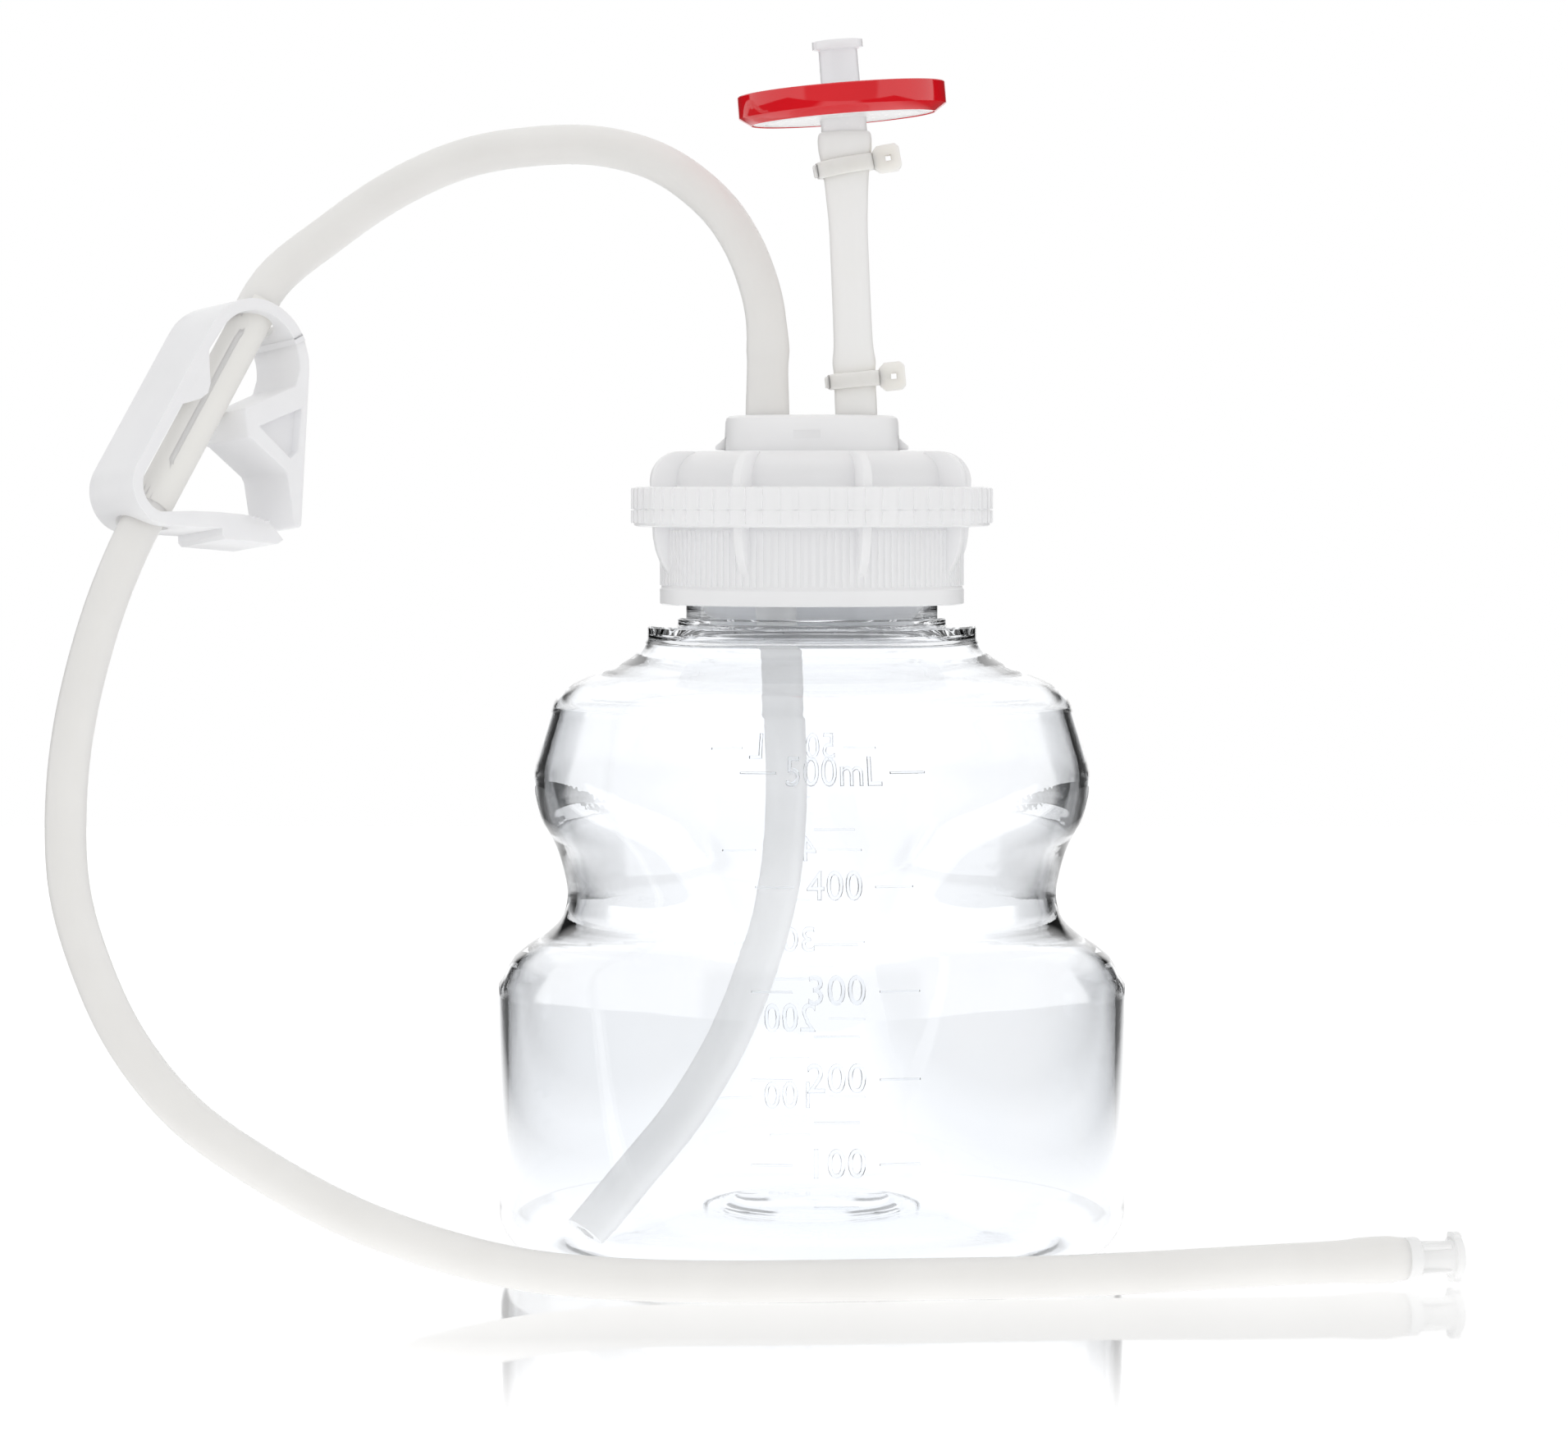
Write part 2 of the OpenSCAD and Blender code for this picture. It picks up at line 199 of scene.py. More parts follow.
def at(x, y, z):
    """The move to a place."""
    return Matrix.Translation(Vector((x, y, z)) * MM)


def use(obj, modifier):
    """Applies one modifier."""
    only(obj)
    bpy.ops.object.modifier_apply(modifier=modifier.name)
    return obj


def eased(obj, width, segments=3, angle=35):
    """Rounds obj's sharp edges."""
    bevel = obj.modifiers.new("edges", "BEVEL")
    bevel.width = width * MM
    bevel.segments = segments
    bevel.limit_method = "ANGLE"
    bevel.angle_limit = math.radians(angle)
    return use(obj, bevel)


def cut(obj, *tools):
    """Takes each tool out of obj, and removes the tool."""
    for tool in tools:
        boolean = obj.modifiers.new("cut", "BOOLEAN")
        boolean.operation = "DIFFERENCE"
        boolean.solver = "EXACT"
        boolean.object = tool
        use(obj, boolean)
        bpy.data.objects.remove(tool)
    return obj


def merged(obj, other):
    """Makes other part of obj's own solid, with nothing left inside."""
    boolean = obj.modifiers.new("merge", "BOOLEAN")
    boolean.operation = "UNION"
    boolean.solver = "EXACT"
    boolean.object = other
    use(obj, boolean)
    bpy.data.objects.remove(other)
    return obj


def joined(name, *parts):
    """Makes several objects one."""
    bpy.ops.object.select_all(action="DESELECT")
    for part in parts:
        part.select_set(True)
    bpy.context.view_layer.objects.active = parts[0]
    bpy.ops.object.join()
    parts[0].name = name
    return parts[0]


def pick(obj, test):
    """Opens obj in edit mode with the faces selected whose middle, in millimetres, and normal pass test."""
    edit(obj, "DESELECT")
    bpy.ops.mesh.select_mode(type="FACE")
    close()
    for face in obj.data.polygons:
        face.select = test(face.center / MM, face.normal)
    bpy.ops.object.mode_set(mode="EDIT")


def arc(centre, radius, start, end, steps=8):
    """Points on an arc from start to end, in degrees."""
    turns = [math.radians(start + (end - start) * i / steps) for i in range(steps + 1)]
    return [(centre[0] + radius * math.cos(t), centre[1] + radius * math.sin(t)) for t in turns]


def curved(points, steps):
    """A smooth line of any dimension through points, with steps legs between each two."""
    spots = [Vector(p) for p in points]
    ends = [2 * spots[0] - spots[1]] + spots + [2 * spots[-1] - spots[-2]]
    out = []
    for a, b, c, d in zip(ends, ends[1:], ends[2:], ends[3:]):
        for i in range(steps):
            t = i / steps
            out.append(0.5 * (2 * b + (c - a) * t + (2 * a - 5 * b + 4 * c - d) * t * t
                              + (3 * b - a - 3 * c + d) * t ** 3))
    return out + [spots[-1]]


def level(table, height):
    """Reads a table of (value, height) rows at a height."""
    rows = list(table)
    if height <= rows[0][1]:
        return rows[0][0]
    for (a, low), (b, high) in zip(rows, rows[1:]):
        if height <= high:
            return a + (b - a) * (height - low) / (high - low)
    return rows[-1][0]


def finished(obj, body, slot, material, *nodes):
    """Gives a piece its material, the body that it moves with and the CAD nodes that it stands for."""
    obj.data.materials.clear()
    obj.data.materials.append(material)
    only(obj)
    bpy.ops.object.shade_smooth_by_angle(angle=math.radians(32))
    if body:
        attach(obj, body)
    if nodes:
        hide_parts(*nodes)
    return obj


# ---------------------------------------------------------------- camera

LENS = 130.92622
SENSOR = 36.0
CAMERA_AT = (0, -0.9, 0.1206)
CAMERA_DIP = 2.29
CAMERA_SWING = 0.28


def camera():
    """The camera: in front of the object, at the height of its closure, and dipped a little."""
    data = bpy.data.cameras.new("camera")
    data.sensor_width = SENSOR
    data.lens = LENS
    obj = bpy.data.objects.new("camera", data)
    obj.location = CAMERA_AT
    obj.rotation_euler = (math.radians(90 - CAMERA_DIP), 0, math.radians(CAMERA_SWING))
    bpy.context.collection.objects.link(obj)
    bpy.context.scene.camera = obj


camera()

# ---------------------------------------------------------------- shader groups and materials


def grain_group():
    """Clouding and fine moulded grain: a base colour, its cloudier tint, a roughness and a height."""
    group = bpy.data.node_groups.new("moulded_grain", "ShaderNodeTree")
    sockets = group.interface
    for name, kind, value in [("Colour", "NodeSocketColor", (0.8, 0.8, 0.8, 1)),
                              ("Cloud Colour", "NodeSocketColor", (0.7, 0.7, 0.7, 1)),
                              ("Cloud Size", "NodeSocketFloat", 90.0),
                              ("Grain Size", "NodeSocketFloat", 900.0),
                              ("Roughness", "NodeSocketFloat", 0.3),
                              ("Roughness Spread", "NodeSocketFloat", 0.1)]:
        socket = sockets.new_socket(name=name, in_out="INPUT", socket_type=kind)
        socket.default_value = value
    sockets.new_socket(name="Colour", in_out="OUTPUT", socket_type="NodeSocketColor")
    sockets.new_socket(name="Roughness", in_out="OUTPUT", socket_type="NodeSocketFloat")
    sockets.new_socket(name="Height", in_out="OUTPUT", socket_type="NodeSocketFloat")
    nodes, link = group.nodes, group.links.new
    inside = nodes.new("NodeGroupInput")
    outside = nodes.new("NodeGroupOutput")
    coords = nodes.new("ShaderNodeTexCoord")
    cloud = nodes.new("ShaderNodeTexNoise")
    cloud.inputs["Detail"].default_value = 3.0
    grain = nodes.new("ShaderNodeTexNoise")
    grain.inputs["Detail"].default_value = 2.0
    link(coords.outputs["Object"], cloud.inputs["Vector"])
    link(coords.outputs["Object"], grain.inputs["Vector"])
    link(inside.outputs["Cloud Size"], cloud.inputs["Scale"])
    link(inside.outputs["Grain Size"], grain.inputs["Scale"])
    spread = nodes.new("ShaderNodeMapRange")
    spread.inputs["From Min"].default_value = 0.35
    spread.inputs["From Max"].default_value = 0.65
    link(cloud.outputs["Fac"], spread.inputs["Value"])
    colour = nodes.new("ShaderNodeMix")
    colour.data_type = "RGBA"
    link(spread.outputs["Result"], colour.inputs["Factor"])
    link(inside.outputs["Colour"], colour.inputs["A"])
    link(inside.outputs["Cloud Colour"], colour.inputs["B"])
    link(colour.outputs["Result"], outside.inputs["Colour"])
    rough = nodes.new("ShaderNodeMath")
    rough.operation = "MULTIPLY_ADD"
    link(grain.outputs["Fac"], rough.inputs[0])
    link(inside.outputs["Roughness Spread"], rough.inputs[1])
    link(inside.outputs["Roughness"], rough.inputs[2])
    link(rough.outputs["Value"], outside.inputs["Roughness"])
    link(grain.outputs["Fac"], outside.inputs["Height"])
    return group


GRAIN = grain_group()


def plastic(name, colour, cloud, roughness, spread, cloud_size, grain_size, bump, **plain):
    """A moulded plastic: the grain group feeds colour, roughness and bump, and plain values the rest."""
    material = bpy.data.materials.new(name)
    material.use_nodes = True
    nodes, link = material.node_tree.nodes, material.node_tree.links.new
    shader = nodes["Principled BSDF"]
    grain = nodes.new("ShaderNodeGroup")
    grain.node_tree = GRAIN
    grain.inputs["Colour"].default_value = (*colour, 1)
    grain.inputs["Cloud Colour"].default_value = (*cloud, 1)
    grain.inputs["Cloud Size"].default_value = cloud_size
    grain.inputs["Grain Size"].default_value = grain_size
    grain.inputs["Roughness"].default_value = roughness
    grain.inputs["Roughness Spread"].default_value = spread
    link(grain.outputs["Colour"], shader.inputs["Base Color"])
    link(grain.outputs["Roughness"], shader.inputs["Roughness"])
    ripple = nodes.new("ShaderNodeBump")
    ripple.inputs["Distance"].default_value = bump * MM
    link(grain.outputs["Height"], ripple.inputs["Height"])
    link(ripple.outputs["Normal"], shader.inputs["Normal"])
    for socket, value in plain.items():
        shader.inputs[socket.replace("_", " ")].default_value = value
    return material


def milky(radius, share=1.0):
    """How far light goes in a milky plastic, in metres, and the share of it that gets in."""
    reach = (radius, radius, radius)
    return {"Subsurface_Weight": share, "Subsurface_Radius": reach, "Subsurface_Scale": 1.0}


def materials():
    """Every finish on the object, by the part that has it."""
    return {
        "petg": plastic("clear_petg", (0.975, 0.985, 1.0), (0.965, 0.98, 1.0),
                        0.0, 0.01, 40, 500, 0.002, Transmission_Weight=1.0, IOR=1.57),
        "closure": plastic("milky_closure", (0.955, 0.955, 0.965), (0.935, 0.935, 0.945),
                           0.26, 0.1, 120, 900, 0.004, IOR=1.40, **milky(0.004, 0.45)),
        "insert": plastic("milky_insert", (0.96, 0.96, 0.965), (0.94, 0.94, 0.945),
                          0.28, 0.1, 150, 900, 0.004, IOR=1.40, **milky(0.004, 0.45)),
        "seal": plastic("silicone_seal", (0.86, 0.87, 0.88), (0.80, 0.81, 0.83),
                        0.45, 0.1, 200, 1200, 0.004, **milky(0.002)),
        "hose": plastic("hose_silicone", (0.875, 0.865, 0.845), (0.85, 0.84, 0.82),
                        0.34, 0.1, 70, 1500, 0.004, IOR=1.40, **milky(0.002, 0.6)),
        # Painted light: the hose's own silicone made lighter, to lift the shade that falls on it inside the
        # clamp.
        "hose_painted_lighter_in_clamp": plastic("hose_silicone_painted_lighter", (0.95, 0.94, 0.905), (0.93, 0.92, 0.885),
                              0.34, 0.1, 70, 1500, 0.004, IOR=1.40),
        "vent_hose": plastic("vent_hose_silicone", (0.95, 0.94, 0.915), (0.93, 0.92, 0.895),
                             0.30, 0.1, 90, 1500, 0.004, IOR=1.38, **milky(0.003, 0.6)),
        # Painted light: the hose's silicone made lighter, to make up for the dimmer light that reaches the
        # dip tube through the bottle.
        "dip": plastic("dip_tube_silicone_painted_lighter", (0.97, 0.97, 0.965), (0.95, 0.95, 0.945),
                       0.34, 0.1, 70, 1500, 0.004, IOR=1.40, **milky(0.002, 0.3)),
        "nylon": plastic("natural_nylon", (0.93, 0.905, 0.85), (0.90, 0.87, 0.81),
                         0.3, 0.12, 260, 1400, 0.005, IOR=1.48, **milky(0.002)),
        "filter": plastic("clear_filter_shell", (0.95, 0.955, 0.975), (0.93, 0.935, 0.955),
                          0.10, 0.05, 120, 900, 0.002, IOR=1.45, **milky(0.003, 0.3)),
        "filter_white": plastic("milky_filter_shell", (0.96, 0.95, 0.955), (0.94, 0.93, 0.935),
                                0.22, 0.08, 160, 900, 0.002, IOR=1.45, **milky(0.002, 0.3)),
        "red": plastic("red_band", (0.78, 0.004, 0.012), (0.73, 0.003, 0.010),
                       0.05, 0.03, 90, 900, 0.001, IOR=1.65),
        "membrane": plastic("filter_membrane", (0.90, 0.90, 0.89), (0.86, 0.86, 0.85),
                            0.85, 0.1, 400, 6000, 0.02),
        "luer": plastic("clear_luer", (0.95, 0.95, 0.945), (0.93, 0.93, 0.925),
                        0.16, 0.06, 200, 1200, 0.003, IOR=1.42, **milky(0.002, 0.2)),
        "hinge": plastic("white_hinge", (0.925, 0.925, 0.94), (0.905, 0.905, 0.92),
                         0.27, 0.12, 120, 900, 0.006, IOR=1.46),
        "clamp": plastic("white_clamp", (0.925, 0.925, 0.94), (0.905, 0.905, 0.92),
                         0.27, 0.12, 120, 900, 0.006, IOR=1.46, **milky(0.0015, 0.4)),
        "floor": plastic("white_floor", (0.50, 0.50, 0.50), (0.49, 0.49, 0.49),
                         0.03, 0.01, 3, 60, 0.0, IOR=1.65),
    }


FINISH = materials()

# ---------------------------------------------------------------- cords

ROUTE_STEPS = 6
CORD_SIDES = 40
BORE_DEPTH = 12

# The hose's radius at distances from the port, where it's stretched over the barb, and from the far end.
PORT_SWELL = [(3.45, 0), (3.42, 2), (3.3, 5), (3.25, 8), (3.42, 10.5), (3.3, 12), (HOSE_R, 15)]
END_SWELL = [(3.3, -0.6), (3.56, 0.6), (3.62, 2.4), (3.6, 6), (3.4, 8.5), (HOSE_R, 10.5)]
END_R = 3.25

# Inside the clamp the hose is drawn in to a thin core, which the sleeve and the slices hide.
CORE_LOW = -13.5
CORE_HIGH = 16.5
CORE_TAPER = 2.5
CORE_HALF = 1.1
CORE_SHIFT = -1.65
CORE_NARROWING = 0.12
CORE_REACH = 6


def clamp_frame_matrix():
    """The clamp's own frame: x away from the back of its loop, y across it and z up along the hose."""
    columns = [Vector(CLAMP_OUT), Vector(CLAMP_BACK), Vector(CLAMP_UP)]
    turn = Matrix(columns).transposed().to_4x4()
    return at(*CLAMP_AT) @ turn


CLAMP_FRAME = clamp_frame_matrix()


def swept(name, centres, radii, sides=32):
    """A round tube with closed ends, as thick at each centre as its radius says."""
    data = bpy.data.curves.new(name, "CURVE")
    data.dimensions = "3D"
    data.bevel_depth = MM
    data.bevel_resolution = sides // 4 - 1
    data.use_fill_caps = True
    data.twist_mode = "MINIMUM"
    spline = data.splines.new("POLY")
    spline.points.add(len(centres) - 1)
    for point, centre, radius in zip(spline.points, centres, radii):
        point.co = (*(Vector(centre) * MM), 1)
        point.radius = radius
    obj = bpy.data.objects.new(name, data)
    bpy.context.collection.objects.link(obj)
    only(obj)
    bpy.ops.object.convert(target="MESH")
    return welded(bpy.context.object)


def lengths(points):
    """How far along the line each point is."""
    out = [0.0]
    for here, there in zip(points, points[1:]):
        out.append(out[-1] + (Vector(there) - Vector(here)).length)
    return out


def main_hose():
    """The filling hose: swollen over its two barbs, and thin inside the clamp."""
    centres = curved(HOSE_ROUTE, ROUTE_STEPS)
    gone = lengths(centres)
    radii = [max(level(PORT_SWELL, so_far), level(END_SWELL, gone[-1] - so_far)) for so_far in gone]
    radii[-1] = END_R
    obj = swept("filling_hose", centres, radii, CORD_SIDES)
    inward = CLAMP_FRAME.inverted()
    for vertex in obj.data.vertices:
        local = inward @ vertex.co / MM
        if abs(local.x) > CORE_REACH or abs(local.y) > CORE_REACH:
            continue
        depth = min(local.z - CORE_LOW, CORE_HIGH - local.z) / CORE_TAPER
        if depth <= 0:
            continue
        share = min(depth, 1.0)
        local.x += share * (local.x * CORE_HALF / HOSE_R + CORE_SHIFT - local.x)
        local.y *= 1 - CORE_NARROWING * share
        vertex.co = CLAMP_FRAME @ (local * MM)
    return obj, centres


hose, hose_path = main_hose()
finished(hose, "head", "hose", FINISH["hose"], "main_hose")


def dip_tube():
    """The tube that hangs from the closure to the bottom of the bottle, cut square and open at its end."""
    centres = curved(DIP_ROUTE, ROUTE_STEPS)
    obj = swept("dip_tube_cut", centres, [TUBE_R] * len(centres), CORD_SIDES)
    heading = (centres[-1] - centres[-2]).normalized()
    turn = Vector((0, 0, 1)).rotation_difference(heading).to_matrix().to_4x4()
    bore = put(rod("bore", TUBE_BORE, -BORE_DEPTH, 1), at(*centres[-1]) @ turn)
    return cut(obj, bore), centres


tube, tube_path = dip_tube()
# The dip tube takes the hose silicone painted lighter, for the dim light inside the bottle.
finished(tube, "head", "hose", FINISH["dip"], "dip_tube")
[tuple(p * MM) for p in tube_path]

# ---------------------------------------------------------------- bottle

BASE_PUNT = [(0, 7), (8, 7), (14, 6.9), (17, 6.5), (20, 5.9), (24, 4.6), (28, 3.1), (32, 1.7),
             (35.5, 0.7), (38, 0.15)]
BASE_DOME = [(0, 10.4), (6, 10.4), (11, 10.1), (14, 9.4), (17, 8.6), (20.5, 7.9), (25, 6.4), (29, 4.8),
             (33, 3.3), (36.5, 2.3), (39, 1.8)]
SIDE = [(49.5, 8), (49.5, 44), (48.8, 49), (47.2, 56), (45.7, 64), (44.4, 73), (43.5, 78), (41.4, 85.2)]
SHOULDER = [(40.6, 87.7), (39, 89.6), (36.5, 91), (32.5, 92.6), (28.8, 94.4), (27, 96), (26.1, 97.3)]
WAIST_LINE = [(49.6, 44), (48.6, 45.5), (46.6, 47.9), (43.8, 49.8), (40.9, 51.9), (39.2, 54.1),
              (38.6, 57.5), (39.2, 61.1), (40.5, 65.2), (42.6, 68.9), (44.2, 72.5), (46.6, 76.5)]


def stepped(outline, step=1.6):
    """The outline with no leg longer than step."""
    out = [Vector(outline[0])]
    for point in outline[1:]:
        leg = Vector(point) - out[-1]
        count = max(1, math.ceil(leg.length / step))
        start = out[-1]
        out += [start + leg * (i + 1) / count for i in range(count)]
    return out


def bottle_skin(inset):
    """The bottle's outline from the middle of its base to its rim, moved in by the wall for its inside."""
    foot = arc((BODY_R - FOOT_R, FOOT_R), FOOT_R - inset, -90, -8, 8)
    side = [(r - inset, z) for r, z in SIDE[1:]]
    top = [(r - inset * 0.8, z - inset * 0.6) for r, z in SHOULDER]
    base = BASE_DOME if inset else BASE_PUNT
    base_line = [tuple(p) for p in curved(base, 2)]
    side_line = [tuple(p) for p in curved([(BODY_R - inset, 43)] + side[1:] + top, 4)]
    if inset:
        neck = [(23.6, 97.2), (20.4, 98.8), (18.4, 100), (17.6, 102), (17.4, 105), (17.4, 120),
                (17.7, 120.8)]
    else:
        neck = [(25.95, 97.6), (25.95, 99.3), (25.7, 99.6), (21.4, 99.6), (21.2, 99.8), (21.2, 100.6),
                (20.9, 100.9), (19.9, 100.9), (19.9, 120.4), (19.5, 120.9)]
    return base_line + foot + side_line + neck + [(RIM_R, RIM_Z)]


def wave(a, b, blend):
    """The smaller of two values, rounded off where they cross."""
    share = min(max(0.5 + 0.5 * (b - a) / blend, 0.0), 1.0)
    return b * (1 - share) + a * share - blend * share * (1 - share)


def press_waists(obj, inset):
    """Pushes both sides of the skin in to the waist's line, each about an axis on the far side."""
    waist = [tuple(p) for p in curved(WAIST_LINE, 4)]
    for vertex in obj.data.vertices:
        place = vertex.co / MM
        if not WAIST_LINE[0][1] < place.z < WAIST_LINE[-1][1]:
            continue
        centre = Vector((-math.copysign(WAIST_CENTRE, place.x), 0))
        arm = Vector((place.x, place.y)) - centre
        limit = WAIST_CENTRE + level(waist, place.z) - inset
        reach = wave(arm.length, limit, WAIST_BLEND)
        flat = centre + arm * reach / arm.length
        vertex.co = Vector((flat.x, flat.y, place.z)) * MM


def bottle():
    """The bottle: an outer and an inner skin, pressed at the waists and welded at the rim."""
    skins = []
    for inset in (0, WALL):
        skin = turned("bottle_skin", stepped(bottle_skin(inset)), 192)
        press_waists(skin, inset)
        skins.append(skin)
    return welded(joined("bottle_shell", *skins))


shell = finished(bottle(), "bottle", "petg", FINISH["petg"], "bottle")


FIGURES = [("500mL", 78.4, 9.9), ("400", 61.4, 6.6), ("300", 45.9, 6.6), ("200", 32.7, 6.6),
           ("100", 19.9, 6.6)]
FIGURE_H = 4.4
CAPITAL_SHARE = 0.70
FIGURE_GAP = 1.04
FIGURE_SQUEEZE = 0.94
FIGURE_DEPTH = 0.2
FIGURE_BEVEL = 0.12
FIGURE_THINNING = -0.08
LINE_LENGTH = 6.2
HALF_LINES = (70.0, 52.9, 39.2, 26.3, 13.5)
HALF_LINE_REACH = 3.4
LINE_DEPTH = 0.3
LINE_HALF_W = 0.15
SCALE_LIFT = 0.06


def wrapped(obj, lift):
    """Bends flat artwork, drawn on X and Z with its depth on Y, round the front of the bottle."""
    for vertex in obj.data.vertices:
        place = vertex.co / MM
        radius = level(SIDE, place.z) + lift - place.y
        turn = place.x / BODY_R
        vertex.co = Vector((radius * math.sin(turn), -radius * math.cos(turn), place.z)) * MM


def numeral(text, z):
    """Raised figures, drawn flat and upright at a height."""
    bpy.ops.object.select_all(action="DESELECT")
    bpy.ops.object.text_add(location=(0, 0, 0))
    obj = bpy.context.object
    obj.data.body = text
    obj.data.size = FIGURE_H / CAPITAL_SHARE * MM
    obj.data.space_character = FIGURE_GAP
    obj.data.align_x = "CENTER"
    obj.data.align_y = "CENTER"
    obj.data.extrude = FIGURE_DEPTH * MM
    obj.data.bevel_depth = FIGURE_BEVEL * MM
    obj.data.offset = FIGURE_THINNING * MM
    obj.data.resolution_u = 4
    bpy.ops.object.convert(target="MESH")
    obj = bpy.context.object
    upright = Matrix.Rotation(math.pi / 2, 4, "X") @ Matrix.Diagonal((FIGURE_SQUEEZE, 1, 1, 1))
    return put(obj, at(0, 0, z) @ upright)


def tick(x0, x1, z):
    """A raised line, cut into short lengths so that it can follow the bottle round."""
    obj = block("tick", (x0, -LINE_DEPTH, z - LINE_HALF_W), (x1, LINE_DEPTH, z + LINE_HALF_W))
    edit(obj)
    bpy.ops.mesh.subdivide(number_cuts=5)
    close()
    return obj


def graduations():
    """The scale, on the front and again on the back: a figure with two lines, and a short line between."""
    marks = []
    for text, z, reach in FIGURES:
        marks.append(numeral(text, z))
        marks.append(tick(-reach - LINE_LENGTH, -reach, z))
        marks.append(tick(reach, reach + LINE_LENGTH, z))
    for z in HALF_LINES:
        marks.append(tick(-HALF_LINE_REACH, HALF_LINE_REACH, z))
    front = joined("graduations", *marks)
    wrapped(front, SCALE_LIFT)
    only(front)
    bpy.ops.object.duplicate()
    back = put(bpy.context.object, spun(180))
    return put(joined("graduations", front, back), spun(BOTTLE_TURN))


scale = finished(graduations(), "bottle", "petg", FINISH["petg"])
for clear in (shell, scale):
    clear.visible_shadow = False

# ---------------------------------------------------------------- closure: nut, port insert, seal

NUT_SIDES = 256
RING_R = 28.1
RING_RIB = 0.45
RING_RIB_Z = (115.6, 121.1)
SKIRT_R = 23.7
SKIRT_RIB = 0.28
SKIRT_RIB_Z = (105.9, 114.9)
WEBS = 8
WEB_FIRST = -116.0
WEB_W = 1.5

NUT_OUTLINE = [
    (21.5, 103), (23.8, 103), (24.0, 103.2), (24.0, 105.4), (23.75, 105.7), (SKIRT_R, 106),
    (SKIRT_R, 114.7), (SKIRT_R, 115.2), (27.6, 115.2), (28.0, 115.4), (RING_R, 115.8), (RING_R, 117.8),
    (28.02, 117.9), (RING_R, 118.0), (RING_R, 120.9), (28.0, 121.3), (27.6, 121.5), (22.7, 121.5),
    (22.5, 121.8), (22.45, 123.2), (22.1, 124.6), (21.4, 125.7), (20.3, 126.5), (18.9, 127.0),
    (17.5, 127.1), (14.5, 127.1), (14.3, 126.9), (14.3, 124.5), (20.9, 124.35), (20.9, 104), (21.1, 103.4)]
WEB_TOP = [(19.5, 121.3), (26.6, 121.3)] + arc((21.9, 122.3), 4.75, -5, 88, 10) + [(19.5, 127.05)]
WEB_BOTTOM = [(23.2, 115.4), (26.2, 115.4), (26.1, 113.6), (25.7, 111.6), (25.0, 109.8), (24.2, 108.4),
              (23.6, 107.4), (23.2, 107.4)]


def side_number(middle):
    """Which of the nut's sides a face lies on."""
    return int(math.degrees(math.atan2(middle.y, middle.x)) % 360 / (360 / NUT_SIDES))


def raise_ribs(obj, every, span, radius, height):
    """Raises ribs: extrudes the faces of every so many sides and scales them out from the axis."""
    def test(middle, normal):
        outside = abs(normal.z) < 0.5 and middle.xy.length > radius - 0.3
        return side_number(middle) % every == 0 and span[0] < middle.z < span[1] and outside
    pick(obj, test)
    bpy.ops.mesh.extrude_region_move()
    grow = 1 + height / radius
    bpy.ops.transform.resize(value=(grow, grow, 1), center_override=(0, 0, 0))
    close()


def closure_nut():
    """The screw closure: a turned shell with a ribbed ring, a finely ribbed skirt and webs on both."""
    obj = turned("closure_nut", NUT_OUTLINE + NUT_OUTLINE[:1], NUT_SIDES)
    raise_ribs(obj, 4, RING_RIB_Z, RING_R, RING_RIB)
    raise_ribs(obj, 2, SKIRT_RIB_Z, SKIRT_R, SKIRT_RIB)
    webs = []
    for i in range(WEBS):
        for outline in (WEB_TOP, WEB_BOTTOM):
            web = eased(plate("web", outline, WEB_W), 0.35)
            webs.append(put(web, spun(WEB_FIRST + 360 / WEBS * i)))
    obj = merged(obj, joined("webs", *webs))
    obj.name = "ribbed_nut"
    return obj


finished(closure_nut(), "nut", "closure_pp", FINISH["closure"], "closure_nut")

INSERT_OUTLINE = [
    (0, 130.2), (10, 130.2), (11.6, 129.9), (12.1, 129.2), (12.1, 122.05), (19.6, 122.05), (19.6, 124.2),
    (14.1, 124.2), (13.95, 124.6), (13.8, 128), (13.65, 131.6), (13.45, 132.25), (12.9, 132.62),
    (12.2, 132.7), (11.4, 132.62), (0, 132.62)]
BARB_OUTLINE = [(0, -2.6), (2.2, -2.6), (2.2, 4.4), (2.75, 4.7), (2.3, 8.6), (1.9, 10.4), (0, 10.4)]
SPIGOT_OUTLINE = [(2.2, 131), (2.2, 112), (2.0, 111.6), (1.3, 111.6), (1.3, 131), (2.2, 131)]
TAB = [(12.6, 127.3), (15.2, 127.3), (15.2, 127.9), (13.5, 129.3), (12.6, 129.3)]
TAB_W = 4.5
WINDOW_X = (-2.9, 1.3)
WINDOW_Z = (129.0, 130.3)
WINDOW_AT = 14.1
WINDOW_DEPTH = 0.75


def port_insert():
    """The cup that holds the hoses: two barbs up, a spigot down, two side tabs and two window pockets."""
    obj = turned("port_insert", INSERT_OUTLINE, 128)
    for side in (-1, 1):
        y = side * WINDOW_AT
        low = (WINDOW_X[0], y - WINDOW_DEPTH, WINDOW_Z[0])
        high = (WINDOW_X[1], y + WINDOW_DEPTH, WINDOW_Z[1])
        obj = cut(obj, block("window", low, high))
    parts = [obj]
    for x in (-PORT_X, PORT_X):
        parts.append(put(turned("barb", BARB_OUTLINE, 40), at(x, 0, INSERT_TOP)))
    parts.append(put(turned("spigot", SPIGOT_OUTLINE, 40), at(-PORT_X, 0, 0)))
    for turn in (0, 180):
        parts.append(put(eased(plate("tab", TAB, TAB_W), 0.2), spun(turn)))
    return joined("port_disc", *parts)


finished(port_insert(), "head", "closure_pp", FINISH["insert"], "port_insert")


